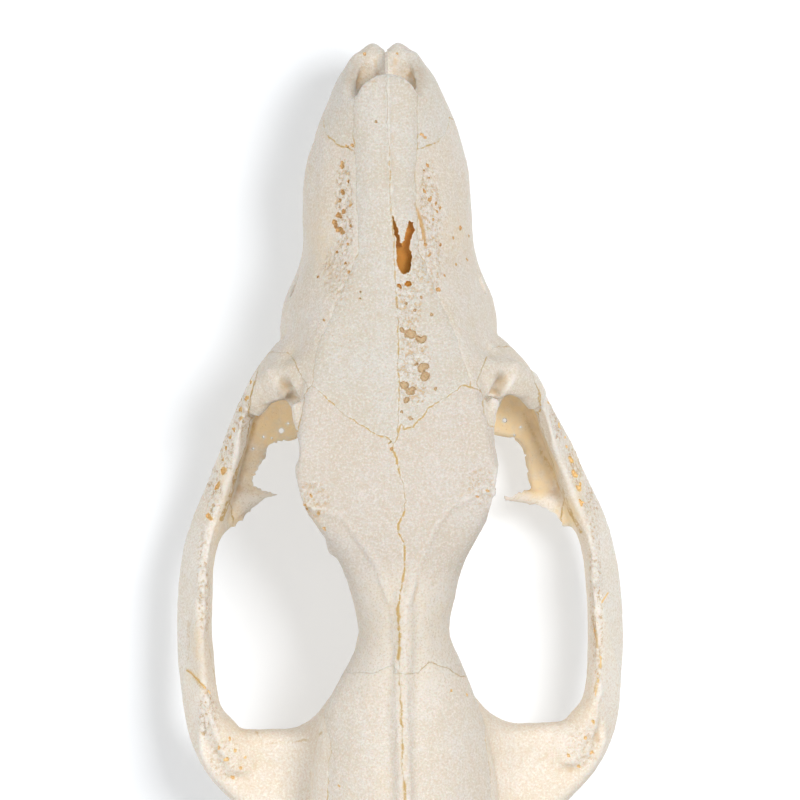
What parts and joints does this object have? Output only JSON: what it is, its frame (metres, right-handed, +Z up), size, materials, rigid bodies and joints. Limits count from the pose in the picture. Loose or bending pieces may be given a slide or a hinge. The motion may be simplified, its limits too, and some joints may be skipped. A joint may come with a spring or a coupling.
{
  "type": "opossum skull",
  "caption": "Cranium of a young opossum: long tapering snout, wide cheek arches, low crest, teeth in place, standing upright without its lower jaw.",
  "frame": {"origin": "centre of the skull's box, on the floor that its canines and paroccipital processes stand on", "axes": "+X to the animal's left, +Y from the snout to the back of the head, +Z up"},
  "size_m": [0.062, 0.1196, 0.0347],
  "materials": {
    "premaxilla": "dry, slightly porous bone, greyer at the tip of the snout",
    "nasal": "dry, slightly porous bone with tan seams",
    "maxilla": "dry, pitted bone",
    "lacrimal": "smooth dry bone",
    "jugal": "smooth dry bone with a rough, yellowed upper edge",
    "frontal": "dry, finely grained bone",
    "parietal": "dry, finely grained bone",
    "squamosal": "dry bone with a warmer tint",
    "palatine": "dry bone",
    "sphenoid": "dry bone",
    "occipital": "dry, rough bone",
    "enamel": "ivory tooth enamel"
  },
  "bodies": {
    "root": {"premaxilla_left": "premaxilla", "premaxilla_right": "premaxilla", "nasal_left": "nasal", "nasal_right": "nasal", "maxilla_left": "maxilla", "maxilla_right": "maxilla", "lacrimal_left": "lacrimal", "lacrimal_right": "lacrimal", "jugal_left": "jugal", "jugal_right": "jugal", "frontal_left": "frontal", "frontal_right": "frontal", "parietal_left": "parietal", "parietal_right": "parietal", "squamosal_left": "squamosal", "squamosal_right": "squamosal", "palatine": "palatine", "sphenoid": "sphenoid", "occipital": "occipital"}
  },
  "joints": []
}
